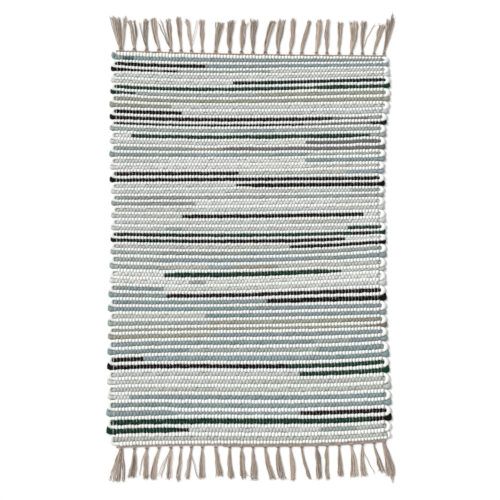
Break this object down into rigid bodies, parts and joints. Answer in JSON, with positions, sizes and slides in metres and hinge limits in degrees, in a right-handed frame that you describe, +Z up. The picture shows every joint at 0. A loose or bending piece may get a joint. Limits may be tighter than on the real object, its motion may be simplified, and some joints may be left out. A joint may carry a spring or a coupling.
{
  "type": "fringed rag rug",
  "caption": "Flat rectangular rug of plain weave, white cotton and torn rag wefts in turn, with knotted warp fringe at both short ends; lies on a floor.",
  "frame": {"origin": "middle of the underside, on the floor, at the centre of the bounding box", "axes": "+X across the rug to the right of the picture, +Y along it to the end at the top of the picture, +Z up"},
  "size_m": [0.6164, 1.0072, 0.0064],
  "materials": {
    "woven_rags": "plain weave of white cotton and mixed grey, green, blue and black cotton rags",
    "warp_yarn": "matt beige cotton warp yarn"
  },
  "bodies": {
    "root": {"woven_field": "woven_rags", "fringe_far": "warp_yarn", "fringe_near": "warp_yarn"}
  },
  "joints": []
}
